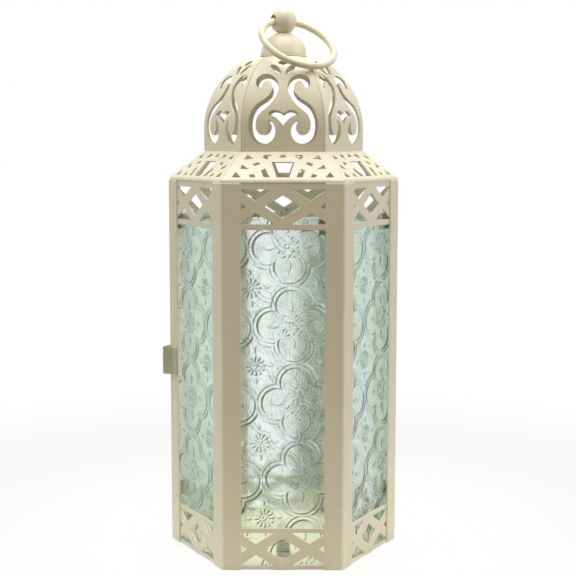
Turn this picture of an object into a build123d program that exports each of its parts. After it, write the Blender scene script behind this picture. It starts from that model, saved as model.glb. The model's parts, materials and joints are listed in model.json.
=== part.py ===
"""Hexagonal candle lantern: corner posts, pressed-glass sides, lattice bands, a pierced roof and dome,
a hinged door with a spring latch, and a hanging ring through a ball finial.

The frame is +Z up with the origin at the middle of the underside. The front side faces -Y.
Every side is drawn as the front one, with u along +X and a measured out from the axis towards -Y,
and is then turned about Z into its place.
"""
import os
from math import asin, atan2, cos, degrees, hypot, radians, sin, sqrt, tan

from build123d import *

# Cage
sides = 6
corner_radius = 54.0            # axis to the outside corner of a post
sheet = 0.7                     # all sheet metal
post_height = 172.9
post_leaf = 8.5                 # visible width of a post on each side
crimp_depth = 0.5               # the post tops are crimped in under the roof
crimp_height = 0.9

# Lattice bands
lattice_pitch = 23.8            # from one crossing to the next
lattice_open = 15.1             # height of the pierced band
lattice_bar = 4.4
top_rail_upper = 2.9
top_rail_lower = 2.6
bottom_rail_upper = 2.1
bottom_rail_lower = 1.75
lattice_end_gap = 1.1           # between a strip's end and the inside of the corner
lattice_hidden = 2.0            # how far the piercing runs on behind a post

# Glass
glass_thickness = 3.0
glass_top_lap = 5.0             # up behind the rail over the window
glass_corner_gap = 1.5          # between a pane's edge and the mitre line
keeper_height = 7.0
keeper_reach = 3.0              # past the post's edge at the upper right of a pane
keeper_hidden = 1.0             # short of the post's edge elsewhere
keeper_rise = 3.05              # from the window's bottom edge to the lower keepers
keeper_drop = 2.4               # from the window's top edge to the foot of the upper keepers

# Base and candle prongs
pan_thickness = 0.8
prong_count = 3
prong_radius = 19.5
prong_width = 6.0
prong_height = 10.5
prong_slot_gap = 0.15

# Roof
lip_height = 1.1
roof_rise = 12.0
roof_ledge = 0.3                # ledge outside the dome
collar_height = 2.2
roof_seam = 0.1

# Dome
dome_apothem = 32.1
dome_wall = 10.0                # straight part of a gore
haunch_radius = 40.0
haunch_angle = 43.0
crown_radius = 19.0
gore_tip = 4.0                  # apothem of the flat tip's end
gore_seam = 0.3

# Finial
crown_plate_thickness = 0.6
crown_plate_lap = 0.2
cap_radius = 10.6
cap_height = 10.1
cap_wall = 0.8
ball_radius = 6.05
washer_radius = 2.7
washer_thickness = 0.5
stud_radius = 2.0
stud_clearance = 0.08
stud_in_ball = 1.8
stud_below_nut = 0.7
clamp_washer_radius = 7.0
clamp_washer_thickness = 0.8
nut_flats = 7.0
nut_height = 3.2

# Hanging ring
ring_radius = 17.2              # to the middle of the wire
ring_wire = 1.5                 # radius of the wire
ring_play = 0.1                 # in the ball's cross hole
ring_azimuth = 30.0             # direction of the cross hole
ring_droop = 39.3               # below level, where the ring lies against the dome

# Door on the back left side
door_gap = 0.3                  # between the door and the posts it closes on
door_free_lap = 5.5             # over the post on the latch side
door_hinge_margin = 1.2         # from the hinge corner to the door's edge
door_stile = 2.0                # from the post's edge to the window
door_glass_gap = 0.6            # from the glass to the post's edge
door_bottom = 0.9
door_top_gap = 0.6
door_glass_bottom = 2.0
clip_width = 6.0
clip_flap = 3.3
clip_offset = 10.0

# Hinges
hinge_height = 16.0
hinge_rise = 28.0               # from the posts' foot to the lower hinge
hinge_drop = 44.9               # from the posts' top to the foot of the upper hinge
hinge_stand_off = 2.0           # from the post's corner to the hinge axis
knuckle_radius = 1.6
knuckle_end = 4.5               # height of each fixed knuckle
knuckle_gap = 0.3
pin_radius = 0.75
pin_fit = 0.02
pin_running = 0.05
pin_head_radius = 1.2
pin_head = 0.5
hinge_leaf_width = 6.8
hinge_leaf_margin = 0.7         # from the corner to the fixed leaf
knuckle_clear = 2.5             # from the axis to the leaf beside a knuckle

# Latch clip
latch_height = 13.0
latch_bottom = 81.1
latch_tail = 7.0                # length on the door's stile
latch_reach = 4.0               # beyond the left corner
latch_landing = 4.8             # from the corner to the foot, along the next side
latch_foot = 3.8
latch_bend = 0.8

# Worked-out sizes
half_angle = 180.0 / sides
post_outer = corner_radius * cos(radians(half_angle))
half_side = corner_radius * sin(radians(half_angle))
post_inner = post_outer - sheet
lattice_inner = post_inner - sheet
glass_inner = lattice_inner - glass_thickness
leaf_edge = half_side - post_leaf
window_bottom = bottom_rail_lower + lattice_open + bottom_rail_upper
window_top = post_height - top_rail_upper - lattice_open - top_rail_lower
glass_top = window_top + glass_top_lap
keeper_levels = (window_bottom + keeper_rise, window_top - keeper_drop)
hinge_levels = {"lower": hinge_rise, "upper": post_height - hinge_drop}
lip_outer = post_outer - crimp_depth
slope_z = post_height + lip_height
roof_z = slope_z + roof_rise
dome_inner = dome_apothem - sheet
roof_top_apothem = dome_apothem + roof_ledge
slope_run = lip_outer - roof_top_apothem
slope_length = hypot(slope_run, roof_rise)
slope_angle = degrees(atan2(roof_rise, slope_run))
haunch_z = roof_z + dome_wall
haunch_centre = dome_apothem - haunch_radius
crown_centre = haunch_centre + (haunch_radius - crown_radius) * cos(radians(haunch_angle))
crown_centre_z = haunch_z + (haunch_radius - crown_radius) * sin(radians(haunch_angle))
dome_top = crown_centre_z + crown_radius
cap_z = dome_top + crown_plate_thickness
cap_flat = sqrt(cap_radius**2 - cap_height**2)
washer_z = cap_z + cap_height
ball_seat = washer_z + washer_thickness
ball_z = ball_seat + sqrt(ball_radius**2 - cap_flat**2)
ring_sag = ring_radius - sqrt(ring_radius**2 - ball_radius**2)
ring_bore = ring_wire + ring_sag + ring_play
door_inner = post_outer + door_gap
door_outer = door_inner + sheet
door_top = post_height - door_top_gap
hinge_radius = corner_radius + hinge_stand_off
hinge_apothem = hinge_radius * cos(radians(half_angle))
hinge_u = hinge_radius * sin(radians(half_angle))

# Sides in order, turning anticlockwise from the front
side_names = ["front", "front_right", "back_right", "back", "back_left", "front_left"]
door_side = side_names.index("back_left")
parts = {}


def turned(shape, side):
    """The shape drawn for the front side, turned to another side."""
    return Rot(0, 0, 360.0 / sides * side) * shape


def on_side(u, a, side):
    """Plan position of a point u along and a out on a side."""
    turn = radians(360.0 / sides * side)
    return (u * cos(turn) + a * sin(turn), u * sin(turn) - a * cos(turn))


def panel(outline, outer, thickness):
    """A flat plate from an outline in u and z, from the outer apothem inwards."""
    return extrude(Plane.XZ.offset(outer) * outline, amount=-thickness)


def slab(u_low, u_high, inner, outer, z_low, z_high):
    """A plain block on the front side."""
    centre = ((u_low + u_high) / 2, -(inner + outer) / 2, (z_low + z_high) / 2)
    return Pos(*centre) * Box(u_high - u_low, outer - inner, z_high - z_low)


def prism(points, z_low, z_high):
    """A plan outline drawn up from one level to another."""
    return Pos(0, 0, z_low) * extrude(make_face(Polyline(*points, close=True)), amount=z_high - z_low)


def mitred(profile, seam):
    """A profile in a and z drawn along a side and cut back to the two mitres, half a seam from each."""
    section = Plane((0, 0, 0), x_dir=(0, -1, 0), z_dir=(-1, 0, 0))
    strip = extrude(section * profile, amount=corner_radius, both=True)
    apex = seam / 2 / sin(radians(half_angle))
    reach = 2 * corner_radius
    spread = (reach - apex) * tan(radians(half_angle))
    wedge = prism([(0, -apex), (-spread, -reach), (spread, -reach)], 0, 2 * roof_z)
    return strip & wedge


def lattice_cuts(z_low, open_half):
    """Openings between crossed bars in a band that starts at z_low, within open_half of the middle."""
    rise = lattice_open / 2
    half_pitch = lattice_pitch / 2
    slope = atan2(rise, half_pitch)
    middle = z_low + rise
    eye = (half_pitch - lattice_bar / 2 / sin(slope), rise - lattice_bar / 2 / cos(slope))
    cuts = Sketch()
    count = int(corner_radius / lattice_pitch) + 1
    for step in range(-count, count + 1):
        u = step * lattice_pitch
        cuts += Polygon((u - eye[0], middle), (u, middle - eye[1]), (u + eye[0], middle), (u, middle + eye[1]))
        u += half_pitch
        for way in (-1, 1):
            edge = middle + way * rise
            tip = edge - way * eye[1]
            cuts += Polygon((u - eye[0], edge), (u, tip), (u + eye[0], edge))
    return cuts & Pos(0, middle) * Rectangle(2 * open_half, lattice_open)


def base_pan():
    """Hexagonal floor with prongs lanced up round the candle."""
    floor = RegularPolygon(lattice_inner, sides, major_radius=False)
    slot_low = prong_radius + pan_thickness
    slot_half = prong_width / 2 + prong_slot_gap
    slot_length = prong_height
    pan = extrude(floor, amount=pan_thickness)
    for step in range(prong_count):
        side = step * sides // prong_count
        slot = slab(-slot_half, slot_half, slot_low, slot_low + slot_length, 0, pan_thickness)
        pan -= turned(slot, side)
    for step in range(prong_count):
        side = step * sides // prong_count
        straight = prong_height - prong_width / 2
        tongue = Pos(0, straight / 2) * Rectangle(prong_width, straight)
        tongue += Pos(0, straight) * Circle(prong_width / 2)
        pan += turned(panel(tongue, slot_low, pan_thickness), side)
    return pan


def corner_post(side):
    """Angle strip on the corner between a side and the next one."""
    def section(outer):
        return [
            on_side(leaf_edge, outer, side),
            on_side(outer * tan(radians(half_angle)), outer, side),
            on_side(-leaf_edge, outer, side + 1),
            on_side(-leaf_edge, post_inner, side + 1),
            on_side(post_inner * tan(radians(half_angle)), post_inner, side),
            on_side(leaf_edge, post_inner, side),
        ]

    shoulder = post_height - crimp_height
    below = make_face(Polyline(*section(post_outer), close=True))
    above = make_face(Polyline(*section(lip_outer), close=True))
    post = extrude(below, amount=shoulder)
    return post + loft([Pos(0, 0, shoulder) * below, Pos(0, 0, post_height) * above], ruled=True)


def lattice_strip(z_low, rail_low, rail_high):
    """One lattice strip behind the posts of the front side."""
    height = rail_low + lattice_open + rail_high
    length = 2 * (lattice_inner * tan(radians(half_angle)) - lattice_end_gap)
    outline = Pos(0, z_low + height / 2) * Rectangle(length, height)
    outline -= lattice_cuts(z_low + rail_low, leaf_edge + lattice_hidden)
    return panel(outline, post_inner, sheet)


def glass_pane():
    """Pane of the front side, standing on the pan against the two lattices."""
    half = glass_inner * tan(radians(half_angle)) - glass_corner_gap
    return slab(-half, half, glass_inner, lattice_inner, pan_thickness, glass_top)


def pane_keeper(corner, z_low, right_reach):
    """Folded tab from the inside of a post over the panes beside it."""
    corner_in = post_inner / cos(radians(half_angle))
    root = (glass_inner - sheet) / cos(radians(half_angle))
    nose = corner_in - sheet / 2 * tan(radians(half_angle))
    plan = Polygon((root, -sheet / 2), (nose, -sheet / 2), (corner_in, 0), (nose, sheet / 2), (root, sheet / 2))
    bearing = -90 + half_angle + 360.0 / sides * corner
    keeper = Rot(0, 0, bearing) * extrude(plan, amount=keeper_height)
    fold = glass_inner * tan(radians(half_angle))
    for side, way, reach in ((corner, 1, right_reach), (corner + 1, -1, -keeper_hidden)):
        if side % sides != door_side:
            ends = sorted((way * (leaf_edge - reach), way * fold))
            keeper += turned(slab(*ends, glass_inner - sheet, glass_inner, 0, keeper_height), side)
    return Pos(0, 0, z_low) * keeper


# Roof strapwork: outlines of the openings right of the middle, as shares of the panel's half width
# at that height and of the slope's length
roof_middle = [
    [(-0.105, 0.095), (0.105, 0.095), (0.235, 0.64), (-0.235, 0.64)],
    [(-0.09, 0.80), (0.09, 0.80), (0.055, 0.89), (-0.055, 0.89)],
]
roof_right = [
    [(0.345, 0.72), (0.44, 0.81), (0.43, 0.89), (0.25, 0.89)],
    [(0.62, 0.76), (0.82, 0.72), (0.80, 0.89)],
    [(0.44, 0.57), (0.54, 0.50), (0.605, 0.56), (0.51, 0.64)],
    [(0.625, 0.375), (0.80, 0.40), (0.80, 0.55)],
    [(0.22, 0.10), (0.325, 0.10), (0.40, 0.33), (0.33, 0.41)],
    [(0.46, 0.095), (0.54, 0.095), (0.59, 0.18), (0.51, 0.22)],
    [(0.70, 0.10), (0.865, 0.10), (0.84, 0.28)],
]


def roof_panel():
    """Pierced roof panel of the front side, with the eave lip and the collar inside the dome."""
    slope = radians(slope_angle)
    lip_inner = lip_outer - sheet
    collar_inner = dome_inner - sheet
    under = roof_z - sheet

    def underside(a):
        return slope_z + (lip_outer - a) * tan(slope) - sheet / cos(slope)

    meet = lip_outer - (under - slope_z + sheet / cos(slope)) / tan(slope)
    profile = Polygon(
        (lip_outer, post_height), (lip_outer, slope_z), (roof_top_apothem, roof_z), (dome_inner, roof_z),
        (dome_inner, roof_z + collar_height), (collar_inner, roof_z + collar_height), (collar_inner, under),
        (meet, under), (lip_inner, underside(lip_inner)), (lip_inner, post_height),
    )
    low_half = lip_outer * tan(radians(half_angle))
    high_half = roof_top_apothem * tan(radians(half_angle))

    def place(point):
        across, up = point
        return (across * (low_half + (high_half - low_half) * up), up * slope_length)

    cuts = Sketch()
    for outline in roof_middle:
        cuts += Polygon(*[place(p) for p in outline])
    for outline in roof_right:
        hole = Polygon(*[place(p) for p in outline])
        cuts += hole
        cuts += mirror(hole, Plane.YZ)
    face = Plane((0, -lip_outer, slope_z), x_dir=(1, 0, 0), z_dir=(0, -sin(slope), cos(slope)))
    return mitred(profile, roof_seam) - extrude(face * cuts, amount=2 * sheet, both=True)


# Dome piercing: points on the outline of the right-hand scroll, as shares of the dome's half side and
# of its height, from the tip of the upper hook round to the tip of the lower curl and back
scroll_out = [
    (0.625, 0.66), (0.60, 0.76), (0.39, 0.795), (0.17, 0.745), (0.105, 0.655), (0.19, 0.55), (0.40, 0.445),
    (0.60, 0.365), (0.655, 0.265), (0.60, 0.195), (0.50, 0.17), (0.37, 0.20), (0.325, 0.275), (0.375, 0.315),
]
scroll_back = [
    (0.345, 0.325), (0.21, 0.265), (0.185, 0.20), (0.27, 0.115), (0.50, 0.075), (0.73, 0.125), (0.825, 0.245),
    (0.775, 0.395), (0.63, 0.485), (0.42, 0.545), (0.275, 0.62), (0.28, 0.69), (0.385, 0.725), (0.485, 0.69),
    (0.515, 0.65),
]
heart_wing = [(0.0, 0.385), (0.09, 0.415), (0.20, 0.425), (0.365, 0.385)]
heart_tail = [(0.365, 0.375), (0.17, 0.345), (0.06, 0.30), (0.0, 0.27)]
# Three petals at the top of a gore: angle above level of the tangent plane they are cut through, then points
# across and up that plane as shares of the crown's radius
petal_angle = 40.5
bud_angle = 55.0
petal_tip = (0.075, -0.165)
petal_inner = (0.09, 0.04)
petal_head = (0.235, 0.15)
petal_shoulder = (0.29, 0.15)
petal_outer = (0.305, 0.095)
petal_back = (0.225, -0.035)
bud_side = (0.125, -0.05)
bud_top = (0.0, 0.11)
bud_foot = (0.0, -0.115)


def gore_cuts():
    """Scrolls, heart and petals punched through the front gore."""
    half = dome_apothem * tan(radians(half_angle))
    height = dome_top - roof_z

    def place(points):
        return [(across * half, roof_z + up * height) for across, up in points]

    out = place(scroll_out)
    back = place(scroll_back)
    scroll = make_face([Spline(*out), Line(out[-1], back[0]), Spline(*back), Line(back[-1], out[0])])
    wing = place(heart_wing)
    tail = place(heart_tail)
    heart = make_face([Spline(*wing), Line(wing[-1], tail[0]), Spline(*tail), Line(tail[-1], wing[0])])
    punch = Sketch() + scroll + mirror(scroll, Plane.YZ) + heart + mirror(heart, Plane.YZ)
    cuts = extrude(Plane.XZ.offset(crown_centre) * punch, amount=dome_apothem)

    def sized(point):
        return (point[0] * crown_radius, point[1] * crown_radius)

    def tangent_cut(angle, outline):
        lean = radians(angle)
        touch = (0, -(crown_centre + crown_radius * cos(lean)), crown_centre_z + crown_radius * sin(lean))
        face = Plane(touch, x_dir=(1, 0, 0), z_dir=(0, -cos(lean), sin(lean)))
        return extrude(face * outline, amount=3 * sheet, both=True)

    petal = make_face([
        ThreePointArc(sized(petal_tip), sized(petal_inner), sized(petal_head)),
        ThreePointArc(sized(petal_head), sized(petal_shoulder), sized(petal_outer)),
        ThreePointArc(sized(petal_outer), sized(petal_back), sized(petal_tip)),
    ])
    left_bud = (-bud_side[0], bud_side[1])
    bud = make_face([
        ThreePointArc(sized(left_bud), sized(bud_top), sized(bud_side)),
        Polyline(sized(bud_side), sized(bud_foot), sized(left_bud)),
    ])
    cuts += tangent_cut(petal_angle, Sketch() + petal + mirror(petal, Plane.YZ))
    return cuts + tangent_cut(bud_angle, bud)


def dome_gore():
    """Pierced gore of the front side: a straight wall, a wide haunch, a tighter crown and a flat tip."""
    def arc(centre, centre_z, radius, start, end):
        points = []
        for angle in (start, (start + end) / 2, end):
            points.append((centre + radius * cos(radians(angle)), centre_z + radius * sin(radians(angle))))
        return ThreePointArc(*points)

    outside = [
        Line((dome_apothem, roof_z), (dome_apothem, haunch_z)),
        arc(haunch_centre, haunch_z, haunch_radius, 0, haunch_angle),
        arc(crown_centre, crown_centre_z, crown_radius, haunch_angle, 90),
        Line((crown_centre, dome_top), (gore_tip, dome_top)),
    ]
    inside = [
        Line((gore_tip, dome_top - sheet), (crown_centre, dome_top - sheet)),
        arc(crown_centre, crown_centre_z, crown_radius - sheet, 90, haunch_angle),
        arc(haunch_centre, haunch_z, haunch_radius - sheet, haunch_angle, 0),
        Line((dome_inner, haunch_z), (dome_inner, roof_z)),
    ]
    ends = [
        Line((gore_tip, dome_top), (gore_tip, dome_top - sheet)),
        Line((dome_inner, roof_z), (dome_apothem, roof_z)),
    ]
    profile = make_face(outside + inside + ends)
    return mitred(profile, gore_seam) - gore_cuts()


def disc(radius, z_low, thickness, hole):
    """A round plate with a hole for the stud."""
    return Pos(0, 0, z_low) * extrude(Circle(radius) - Circle(hole), amount=thickness)


def finial_cap():
    """Domed cap on the crown plate, flattened on top for the washer."""
    inner_radius = cap_radius - cap_wall
    inner_height = cap_height - cap_wall
    inner_flat = sqrt(inner_radius**2 - inner_height**2)
    hole = stud_radius + stud_clearance
    lean_out = asin(cap_height / cap_radius) / 2
    lean_in = asin(inner_height / inner_radius) / 2
    profile = make_face([
        ThreePointArc(
            (cap_radius, 0), (cap_radius * cos(lean_out), cap_radius * sin(lean_out)), (cap_flat, cap_height)
        ),
        Polyline((cap_flat, cap_height), (hole, cap_height), (hole, inner_height), (inner_flat, inner_height)),
        ThreePointArc(
            (inner_flat, inner_height), (inner_radius * cos(lean_in), inner_radius * sin(lean_in)),
            (inner_radius, 0)
        ),
        Line((inner_radius, 0), (cap_radius, 0)),
    ])
    return Pos(0, 0, cap_z) * revolve(Plane.XZ * profile, Axis.Z)


def finial_ball():
    """Ball with a flat seat, a blind hole for the stud and a cross hole for the ring."""
    ball = Pos(0, 0, ball_z) * Sphere(ball_radius)
    ball &= Pos(0, 0, ball_seat + ball_radius) * Box(3 * ball_radius, 3 * ball_radius, 2 * ball_radius)
    ball -= Pos(0, 0, ball_seat) * extrude(Circle(stud_radius + stud_clearance), amount=stud_in_ball)
    cross = Plane((0, 0, ball_z), z_dir=(cos(radians(ring_azimuth)), sin(radians(ring_azimuth)), 0))
    return ball - extrude(cross * Circle(ring_bore), amount=2 * ball_radius, both=True)


def hanging_ring():
    """Wire ring through the ball, lying against the dome."""
    azimuth = radians(ring_azimuth)
    droop = radians(ring_droop)
    along = Vector(cos(azimuth), sin(azimuth), 0)
    down = Vector(sin(azimuth) * cos(droop), -cos(azimuth) * cos(droop), -sin(droop))
    centre = Vector(0, 0, ball_z) + down * ring_radius
    return Plane(centre, x_dir=along, z_dir=along.cross(down)) * Torus(ring_radius, ring_wire)


def door_frame():
    """Door sheet, drawn for the front side: hinge to the left, latch to the right."""
    low = -(half_side - door_hinge_margin)
    high = leaf_edge + door_free_lap
    outline = Pos((low + high) / 2, (door_bottom + door_top) / 2) * Rectangle(high - low, door_top - door_bottom)
    window_half = leaf_edge - door_stile
    window = Rectangle(2 * window_half, window_top - window_bottom)
    outline -= Pos(0, (window_bottom + window_top) / 2) * window
    outline -= lattice_cuts(bottom_rail_lower, window_half)
    outline -= lattice_cuts(window_top + top_rail_lower, window_half)
    return panel(outline, door_outer, sheet)


def door_glass():
    """Pane behind the door sheet, between the posts' edges."""
    half = leaf_edge - door_glass_gap
    return slab(-half, half, door_inner - glass_thickness, door_inner, door_glass_bottom, glass_top)


def door_clips():
    """Four folded clips that hold the door's pane at its top and bottom edges."""
    back = door_inner - glass_thickness
    clips = []
    for middle in (-clip_offset, clip_offset):
        low, high = middle - clip_width / 2, middle + clip_width / 2
        for edge, way in ((door_glass_bottom, -1), (glass_top, 1)):
            shelf = slab(low, high, back - sheet, door_inner, *sorted((edge, edge + way * sheet)))
            flap = slab(low, high, back - sheet, back, *sorted((edge - way * clip_flap, edge + way * sheet)))
            clips.append(shelf + flap)
    return clips


def knuckle(u, z_low, height, hole):
    """Rolled barrel on the hinge axis, at u on the side it is drawn for."""
    plan = Pos(u, -hinge_apothem) * (Circle(knuckle_radius) - Circle(hole))
    return Pos(0, 0, z_low) * extrude(plan, amount=height)


def bored(leaf, u, hole):
    """The leaf with the hinge axis drilled clear through it."""
    return leaf - Pos(u, -hinge_apothem, 0) * Cylinder(hole, 2 * post_height)


def fixed_hinge_leaf(z_low):
    """Leaf on the post beside the door, with a knuckle at each end. Drawn with the hinge to the right."""
    hole = pin_radius + pin_fit
    high = half_side - hinge_leaf_margin
    leaf = slab(high - hinge_leaf_width, high, post_outer, post_outer + sheet, z_low, z_low + hinge_height)
    for start in (z_low, z_low + hinge_height - knuckle_end):
        leaf += slab(high, hinge_u, post_outer, post_outer + sheet, start, start + knuckle_end)
        leaf += knuckle(hinge_u, start, knuckle_end, hole)
    return bored(leaf, hinge_u, hole)


def door_hinge_leaf(z_low):
    """Leaf on the door with the middle knuckle. Drawn with the hinge to the left."""
    hole = pin_radius + pin_running
    start = z_low + knuckle_end + knuckle_gap
    height = hinge_height - 2 * (knuckle_end + knuckle_gap)
    low = -hinge_u + knuckle_clear
    leaf = slab(low, low + hinge_leaf_width, door_outer, door_outer + sheet, z_low, z_low + hinge_height)
    leaf += slab(-hinge_u, low, door_outer, door_outer + sheet, start, start + height)
    leaf += knuckle(-hinge_u, start, height, hole)
    return bored(leaf, -hinge_u, hole)


def hinge_pin(z_low):
    """Pin with a flat head at each end, on the hinge axis of the door side."""
    u, a = on_side(-hinge_u, hinge_apothem, door_side)
    pin = Pos(u, a, z_low) * extrude(Circle(pin_radius), amount=hinge_height)
    for start in (z_low - pin_head, z_low + hinge_height):
        pin += Pos(u, a, start) * extrude(Circle(pin_head_radius), amount=pin_head)
    return pin


def latch_clip():
    """Spring strip from the door's stile round the left corner post, with a foot on the next side."""
    strip_a = door_outer + sheet / 2
    foot_a = post_outer + door_gap + sheet / 2
    foot_u = -half_side + latch_landing
    door_edge = leaf_edge + door_free_lap
    next_side = door_side + 1
    path = FilletPolyline(
        on_side(door_edge - latch_tail, strip_a, door_side),
        on_side(half_side + latch_reach, strip_a, door_side),
        on_side(foot_u, foot_a, next_side),
        on_side(foot_u + latch_foot, foot_a, next_side),
        radius=latch_bend,
    )
    return Pos(0, 0, latch_bottom) * extrude(trace(path, sheet), amount=latch_height)


# Cage
front_roof = roof_panel()
front_gore = dome_gore()
front_glass = glass_pane()
front_top = lattice_strip(window_top, top_rail_lower, top_rail_upper)
front_bottom = lattice_strip(0, bottom_rail_lower, bottom_rail_upper)
parts["base_pan"] = base_pan()
for side, name in enumerate(side_names):
    parts[f"corner_post_{side + 1}"] = corner_post(side)
    parts[f"roof_panel_{name}"] = turned(front_roof, side)
    parts[f"dome_gore_{name}"] = turned(front_gore, side)
    if side != door_side:
        parts[f"top_lattice_{name}"] = turned(front_top, side)
        parts[f"bottom_lattice_{name}"] = turned(front_bottom, side)
        parts[f"glass_{name}"] = turned(front_glass, side)
keepers = []
for corner in range(sides):
    for z, right_reach in zip(keeper_levels, (-keeper_hidden, keeper_reach)):
        keepers.append(pane_keeper(corner, z, right_reach))
parts["pane_keepers"] = Compound(children=keepers)

# Finial
stud_hole = stud_radius + stud_clearance
clamp_z = dome_top - sheet - clamp_washer_thickness
nut_z = clamp_z - nut_height
stud_z = nut_z - stud_below_nut
nut_plan = RegularPolygon(nut_flats / 2, 6, major_radius=False) - Circle(stud_hole)
parts["crown_plate"] = disc(cap_radius + crown_plate_lap, dome_top, crown_plate_thickness, stud_hole)
parts["finial_cap"] = finial_cap()
parts["finial_washer"] = disc(washer_radius, washer_z, washer_thickness, stud_hole)
parts["finial_ball"] = finial_ball()
parts["finial_stud"] = Pos(0, 0, stud_z) * extrude(Circle(stud_radius), amount=ball_seat + stud_in_ball - stud_z)
parts["clamp_washer"] = disc(clamp_washer_radius, clamp_z, clamp_washer_thickness, stud_hole)
parts["finial_nut"] = Pos(0, 0, nut_z) * extrude(nut_plan, amount=nut_height)
parts["hanging_ring"] = hanging_ring()

# Door
parts["door_frame"] = turned(door_frame(), door_side)
parts["door_glass"] = turned(door_glass(), door_side)
parts["door_clips"] = Compound(children=[turned(clip, door_side) for clip in door_clips()])
parts["latch_clip"] = latch_clip()
for level, z in hinge_levels.items():
    parts[f"hinge_leaf_{level}"] = turned(fixed_hinge_leaf(z), door_side - 1)
    parts[f"door_hinge_leaf_{level}"] = turned(door_hinge_leaf(z), door_side)
    parts[f"hinge_pin_{level}"] = hinge_pin(z)

os.makedirs("parts", exist_ok=True)
for name, shape in parts.items():
    export_step(shape, f"parts/{name}.step")
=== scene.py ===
"""Looks of a hexagonal candle lantern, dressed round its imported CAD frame.

Sheet-metal pieces are copies of the CAD nodes with rolled edges, the panes are pressed glass with a raised
quatrefoil pattern, and the paint, glass and steel are procedural. The lantern's sizes are in millimetres
until a mesh is made. The studio's sizes, and those of the finishes' grain, are in metres.
"""
from __future__ import annotations

import json
import logging
import math
from dataclasses import dataclass, field
from enum import Enum
from typing import Callable, Dict, List, Optional, Sequence, Tuple, Union

import bpy
import numpy as np
from mathutils import Matrix, Vector

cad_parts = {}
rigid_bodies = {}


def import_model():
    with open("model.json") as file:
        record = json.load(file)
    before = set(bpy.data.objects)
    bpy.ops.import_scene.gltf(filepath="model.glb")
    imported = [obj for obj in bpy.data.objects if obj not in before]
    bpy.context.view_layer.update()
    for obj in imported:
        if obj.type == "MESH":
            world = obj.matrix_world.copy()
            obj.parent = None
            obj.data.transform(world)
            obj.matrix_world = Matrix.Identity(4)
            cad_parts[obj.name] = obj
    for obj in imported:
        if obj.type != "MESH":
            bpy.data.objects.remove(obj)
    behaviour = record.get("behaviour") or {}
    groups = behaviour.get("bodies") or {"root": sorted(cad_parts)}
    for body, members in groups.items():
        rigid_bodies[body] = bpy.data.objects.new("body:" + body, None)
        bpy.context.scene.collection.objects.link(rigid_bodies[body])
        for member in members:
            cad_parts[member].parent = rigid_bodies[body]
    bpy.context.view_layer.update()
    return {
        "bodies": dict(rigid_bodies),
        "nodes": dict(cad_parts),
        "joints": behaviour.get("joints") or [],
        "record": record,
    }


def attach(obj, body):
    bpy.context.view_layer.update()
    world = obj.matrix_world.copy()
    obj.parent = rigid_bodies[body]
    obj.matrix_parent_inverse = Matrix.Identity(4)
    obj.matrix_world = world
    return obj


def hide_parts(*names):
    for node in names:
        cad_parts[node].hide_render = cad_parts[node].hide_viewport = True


MM = 0.001
HALF_ANGLE = math.radians(30.0)
EDGE_ATTRIBUTE = "rolled_edge"
# Point attributes of the panes: painted highlight on the crests and painted shade on the flanks.
HIGHLIGHT_ATTRIBUTE = "relief_painted_highlight"
SHADE_ATTRIBUTE = "relief_painted_shade"

log = logging.getLogger("lantern")

Colour = Tuple[float, float, float, float]
Place = Tuple[float, float, float]
EdgeTest = Callable[[Vector, Vector], bool]


class Side(Enum):
    """The six sides, each by the turns of 60 degrees from the front."""

    FRONT = 0
    FRONT_RIGHT = 1
    BACK_RIGHT = 2
    BACK = 3
    BACK_LEFT = 4
    FRONT_LEFT = 5

    @property
    def label(self) -> str:
        """The side's name in the CAD nodes."""
        return self.name.lower()

    @property
    def turn(self) -> float:
        """Angle from the front side, in radians."""
        return 2.0 * HALF_ANGLE * self.value

    @property
    def is_door(self) -> bool:
        """Whether the door closes this side."""
        return self is Side.BACK_LEFT

    def flat(self, point: Vector) -> Tuple[float, float]:
        """Find a point's place on the side.

        Args:
            point: the point, in metres.

        Returns:
            Its distance along the side and out from the axis, in metres.
        """
        along = point.x * math.cos(self.turn) + point.y * math.sin(self.turn)
        out = point.x * math.sin(self.turn) - point.y * math.cos(self.turn)
        return along, out


class Slot(Enum):
    """Material slots of the record."""

    PAINT = "cream_paint"
    GLASS = "tinted_glass"
    STEEL = "steel_hardware"


class Body(Enum):
    """Bodies of the CAD frame."""

    CAGE = "cage"
    DOOR = "door"
    RING = "ring"


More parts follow.
